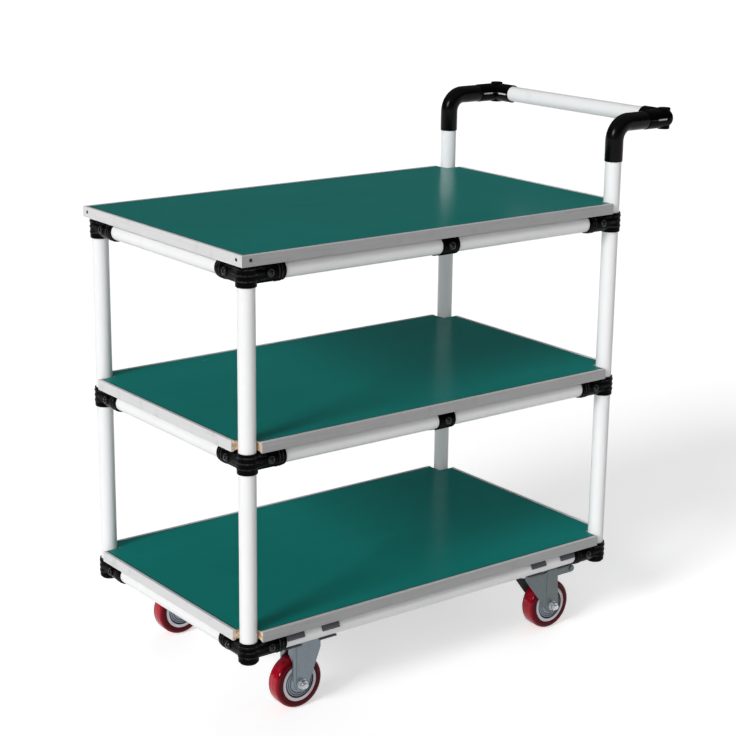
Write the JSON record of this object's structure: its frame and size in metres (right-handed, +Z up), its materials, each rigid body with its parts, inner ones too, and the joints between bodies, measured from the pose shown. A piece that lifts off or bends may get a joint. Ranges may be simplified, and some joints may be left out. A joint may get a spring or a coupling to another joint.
{
  "type": "utility cart",
  "caption": "Push cart of white coated pipe and black bolted clamps, with matted shelves edged in metal channel, a push handle at one end and red-tyred casters, swivelling under the handle.",
  "frame": {"origin": "on the floor under the middle of the whole cart, handle included", "axes": "+X along the cart towards the push handle, +Z up, +Y across the cart to complete a right-handed frame"},
  "size_m": [0.9035, 0.48, 0.9304],
  "materials": {
    "white_pipe": "smooth white coat",
    "black_clamp": "black, satin",
    "black_plastic": "black, glossy",
    "zinc": "zinc plated",
    "edge_channel": "mill finish",
    "board": "cut board edge",
    "mat": "smooth, half gloss",
    "tyre": "red, glossy",
    "core": "grey",
    "bearing": "ground"
  },
  "bodies": {
    "frame": {"post_front_left": "white_pipe", "post_rear_left": "white_pipe", "post_front_right": "white_pipe", "post_rear_right": "white_pipe", "side_rail_bottom_left": "white_pipe", "side_rail_bottom_right": "white_pipe", "end_rails_bottom": "white_pipe", "corner_clamps_bottom": "black_clamp", "board_bottom": "board", "mat_bottom": "mat", "edge_trim_bottom": "edge_channel", "side_rail_middle_left": "white_pipe", "side_rail_middle_right": "white_pipe", "end_rails_middle": "white_pipe", "cross_rail_middle": "white_pipe", "corner_clamps_middle": "black_clamp", "board_middle": "board", "mat_middle": "mat", "edge_trim_middle": "edge_channel", "side_rail_top_left": "white_pipe", "side_rail_top_right": "white_pipe", "end_rails_top": "white_pipe", "cross_rail_top": "white_pipe", "corner_clamps_top": "black_clamp", "board_top": "board", "mat_top": "mat", "edge_trim_top": "edge_channel", "tee_clamps": "black_clamp", "clamp_bolts": "zinc", "trim_screws": "zinc", "elbow_left": "black_plastic", "elbow_right": "black_plastic", "handle_stubs": "white_pipe", "handle_clamps": "black_clamp", "handle_bar": "white_pipe", "end_caps": "black_plastic", "caster_brackets": "black_clamp", "bracket_bolts": "zinc", "swivel_plates": "zinc", "kingpins": "zinc", "swivel_balls": "bearing", "rigid_axles": "zinc", "rigid_fork_left": "zinc", "rigid_fork_right": "zinc"},
    "fork_rear_left": {"swivel_fork_left": "zinc", "swivel_axle_left": "zinc"},
    "wheel_front_left": {"tyre_front_left": "tyre", "wheel_core_front_left": "core", "wheel_bearings_front_left": "bearing"},
    "wheel_rear_left": {"tyre_rear_left": "tyre", "wheel_core_rear_left": "core", "wheel_bearings_rear_left": "bearing"},
    "fork_rear_right": {"swivel_fork_right": "zinc", "swivel_axle_right": "zinc"},
    "wheel_front_right": {"tyre_front_right": "tyre", "wheel_core_front_right": "core", "wheel_bearings_front_right": "bearing"},
    "wheel_rear_right": {"tyre_rear_right": "tyre", "wheel_core_rear_right": "core", "wheel_bearings_rear_right": "bearing"}
  },
  "joints": [
    {"name": "swivel_left", "type": "hinge", "parent": "frame", "child": "fork_rear_left", "pos_m": [0.20325, -0.182, 0.1164], "axis": [0, 0, 1], "continuous": true},
    {"name": "roll_front_left", "type": "hinge", "parent": "frame", "child": "wheel_front_left", "pos_m": [-0.31675, -0.182, 0.045], "axis": [0, 1, 0], "continuous": true},
    {"name": "roll_rear_left", "type": "hinge", "parent": "fork_rear_left", "child": "wheel_rear_left", "pos_m": [0.23525, -0.182, 0.045], "axis": [0, 1, 0], "continuous": true},
    {"name": "swivel_right", "type": "hinge", "parent": "frame", "child": "fork_rear_right", "pos_m": [0.20325, 0.182, 0.1164], "axis": [0, 0, 1], "continuous": true},
    {"name": "roll_front_right", "type": "hinge", "parent": "frame", "child": "wheel_front_right", "pos_m": [-0.31675, 0.182, 0.045], "axis": [0, 1, 0], "continuous": true},
    {"name": "roll_rear_right", "type": "hinge", "parent": "fork_rear_right", "child": "wheel_rear_right", "pos_m": [0.23525, 0.182, 0.045], "axis": [0, 1, 0], "continuous": true}
  ]
}
